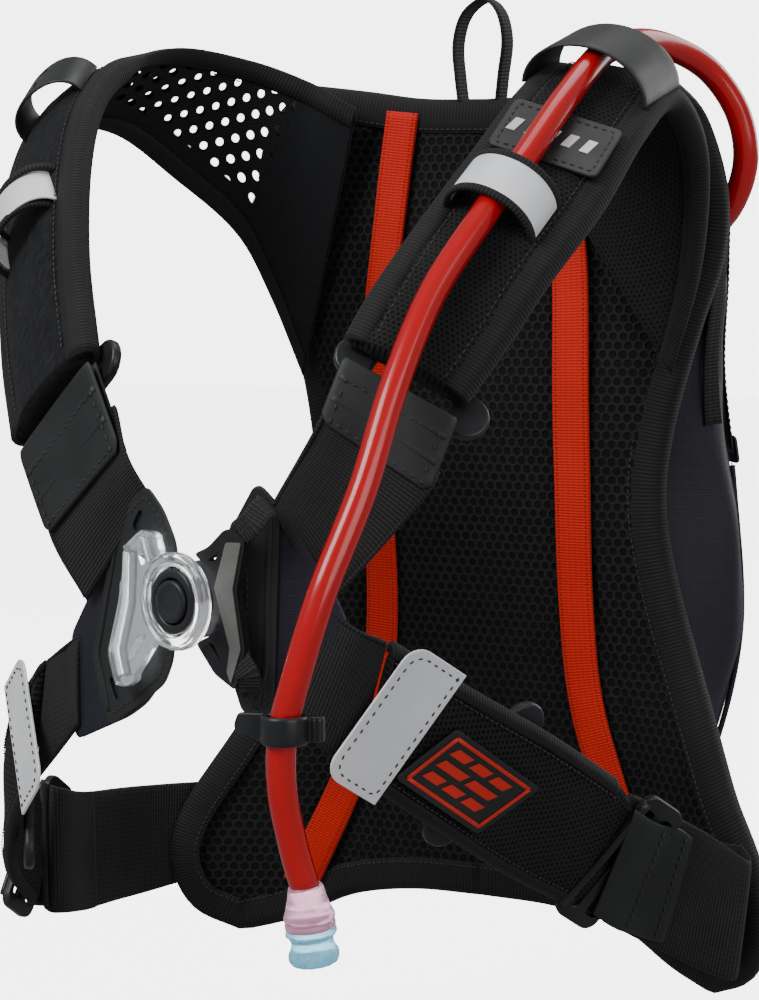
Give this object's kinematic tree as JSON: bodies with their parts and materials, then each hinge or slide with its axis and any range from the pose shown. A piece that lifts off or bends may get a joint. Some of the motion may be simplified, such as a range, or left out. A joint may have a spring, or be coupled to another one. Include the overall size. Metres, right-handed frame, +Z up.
{
  "type": "hydration pack",
  "caption": "Close-fitting sports vest with a water bag on the back, a four-strap harness, a chest buckle, a drinking hose and a bite valve.",
  "frame": {"origin": "on the wearer's spine, at mid-height of the back panel, on the panel's wearer-side face", "axes": "+X towards the wearer's left, -Y forwards from the back panel to the chest, +Z up"},
  "size_m": [0.2998, 0.3308, 0.4129],
  "materials": {
    "spacer_mesh": "open 3D mesh",
    "navy_nylon": "satin ripstop nylon",
    "binding": "ribbed knit binding",
    "lining": "brushed knit",
    "elastic": "ribbed elastic",
    "hypalon": "matt coated fabric",
    "black_plastic": "fine moulded texture",
    "clear_plastic": "clear moulded",
    "red_webbing": "ribbed webbing",
    "hose_red": "glossy",
    "reflective": "retroreflective film",
    "rubber_black": "smooth moulded",
    "water_film": "soft film",
    "valve_pink": "translucent",
    "valve_blue": "translucent",
    "spring_steel": "plain"
  },
  "bodies": {
    "pack": {"back_panel": "spacer_mesh", "edge_binding": "binding", "bag_shell": "navy_nylon", "hang_loop": "elastic", "left_red_webbing": "red_webbing", "right_red_webbing": "red_webbing", "zip_tape": "rubber_black", "zip_coil": "rubber_black", "bladder": "water_film", "bladder_slide": "black_plastic", "bladder_port": "black_plastic"},
    "harness_right": {"right_pad": "lining", "right_tab": "hypalon", "right_upper_elastic": "elastic", "right_lower_elastic": "elastic", "right_waist_flap": "lining", "right_waist_elastic": "elastic", "right_pad_ring": "black_plastic", "right_waist_ring": "black_plastic", "right_ladder_lock": "black_plastic", "right_pull_tab": "reflective", "right_wing": "navy_nylon", "right_hose_band": "rubber_black", "right_hose_keeper": "reflective"},
    "harness_left": {"left_pad": "lining", "left_tab": "hypalon", "left_upper_elastic": "elastic", "left_lower_elastic": "elastic", "left_waist_flap": "lining", "left_waist_elastic": "elastic", "left_pad_ring": "black_plastic", "left_waist_ring": "black_plastic", "left_ladder_lock": "black_plastic", "left_pull_tab": "reflective", "left_wing": "navy_nylon", "left_hose_band": "rubber_black", "left_hose_keeper": "reflective", "left_pad_patch": "rubber_black", "left_flap_patch": "rubber_black", "buckle_black_half": "black_plastic", "buckle_spring": "spring_steel", "hose": "hose_red", "hose_clip": "black_plastic", "bite_valve_collar": "valve_pink"},
    "clear_buckle": {"buckle_clear_half": "clear_plastic"},
    "release_button": {"buckle_button": "black_plastic"},
    "bite_valve": {"bite_valve_mouthpiece": "valve_blue"},
    "zip_slider_left": {"left_zip_slider": "black_plastic"},
    "zip_slider_right": {"right_zip_slider": "black_plastic"},
    "zip_puller_left": {"left_zip_puller": "black_plastic"},
    "zip_puller_right": {"right_zip_puller": "black_plastic"}
  },
  "joints": [
    {"name": "right_harness_swing", "type": "hinge", "parent": "pack", "child": "harness_right", "pos_m": [-0.108, -0.024, 0.128], "axis": [-0.1352, -0.0405, -0.99], "range_deg": [0, 45]},
    {"name": "left_harness_swing", "type": "hinge", "parent": "pack", "child": "harness_left", "pos_m": [0.145, -0.038, -0.165], "axis": [-0.1251, 0.0474, 0.991], "range_deg": [0, 45], "deforming": ["hose"]},
    {"name": "buckle_lift", "type": "hinge", "parent": "harness_right", "child": "clear_buckle", "pos_m": [-0.02195, -0.22634, -0.002], "axis": [-0.2638, 0.0807, -0.9612], "range_deg": [0, 40]},
    {"name": "button_press", "type": "slide", "parent": "harness_left", "child": "release_button", "axis": [0.2924, 0.9563, 0], "range_m": [0, 0.0018], "stiffness_N_per_m": 400, "springref_m": -0.002},
    {"name": "valve_twist", "type": "hinge", "parent": "harness_left", "child": "bite_valve", "pos_m": [0.0472, -0.2378, -0.1218], "axis": [0.0743, 0.109, -0.9913], "range_deg": [0, 90]},
    {"name": "left_zip_slide", "type": "slide", "parent": "pack", "child": "zip_slider_left", "axis": [1, 0, 0], "range_m": [0, 0.05]},
    {"name": "left_puller_flip", "type": "hinge", "parent": "zip_slider_left", "child": "zip_puller_left", "pos_m": [0.009, 0.04047, 0.14236], "axis": [1, 0, 0], "range_deg": [0, 120]},
    {"name": "right_zip_slide", "type": "slide", "parent": "pack", "child": "zip_slider_right", "axis": [-1, 0, 0], "range_m": [0, 0.05]},
    {"name": "right_puller_flip", "type": "hinge", "parent": "zip_slider_right", "child": "zip_puller_right", "pos_m": [-0.009, 0.04047, 0.14236], "axis": [1, 0, 0], "range_deg": [0, 120]}
  ]
}
